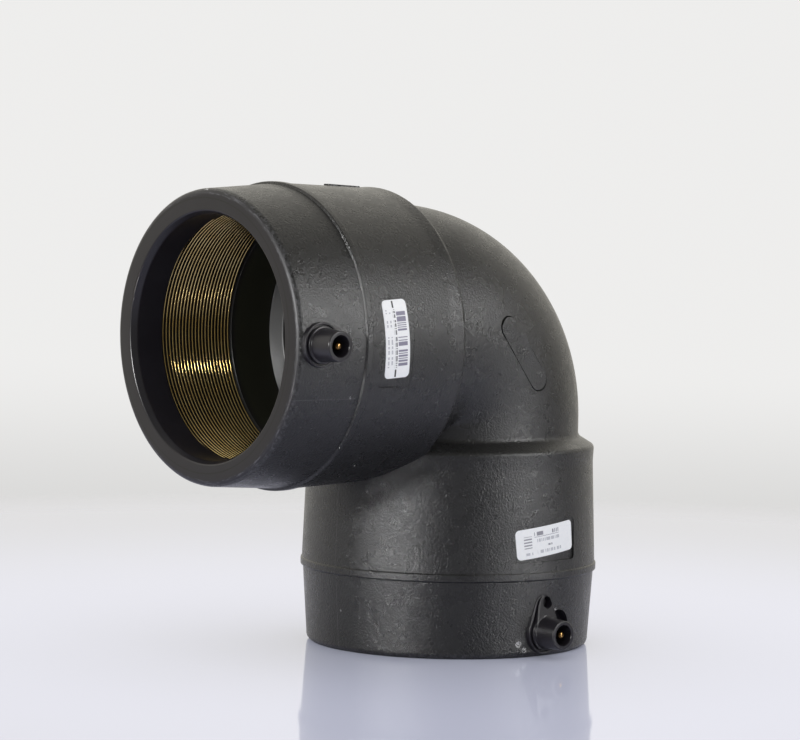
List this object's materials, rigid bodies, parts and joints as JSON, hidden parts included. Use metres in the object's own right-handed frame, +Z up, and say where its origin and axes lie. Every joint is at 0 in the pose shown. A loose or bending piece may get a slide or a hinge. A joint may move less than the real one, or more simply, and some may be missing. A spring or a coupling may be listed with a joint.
{
  "type": "electrofusion pipe elbow",
  "caption": "Black polyethylene electrofusion elbow: a quarter bend between equal sockets, with heating wire in the bores, a shrouded terminal beside each mouth, and labels.",
  "frame": {"origin": "middle of the lower socket's mouth, in the plane of the ring that the elbow stands on", "axes": "+Z up along the axis of the lower socket; -X is the way the upper socket opens; both terminals and both labels face -Y"},
  "size_m": [0.2188, 0.1524, 0.2188],
  "materials": {
    "black_polyethylene": "satin, with a fine spark-eroded grain outside and smooth faces at the mouths",
    "resistance_wire": "drawn wire, plain metal",
    "terminal_brass": "turned, plain metal",
    "label_stock": null
  },
  "bodies": {
    "root": {"elbow_body": "black_polyethylene", "heating_wire": "resistance_wire", "terminal_pin_lower": "terminal_brass", "terminal_pin_upper": "terminal_brass", "data_label": "label_stock", "barcode_label": "label_stock"}
  },
  "joints": []
}
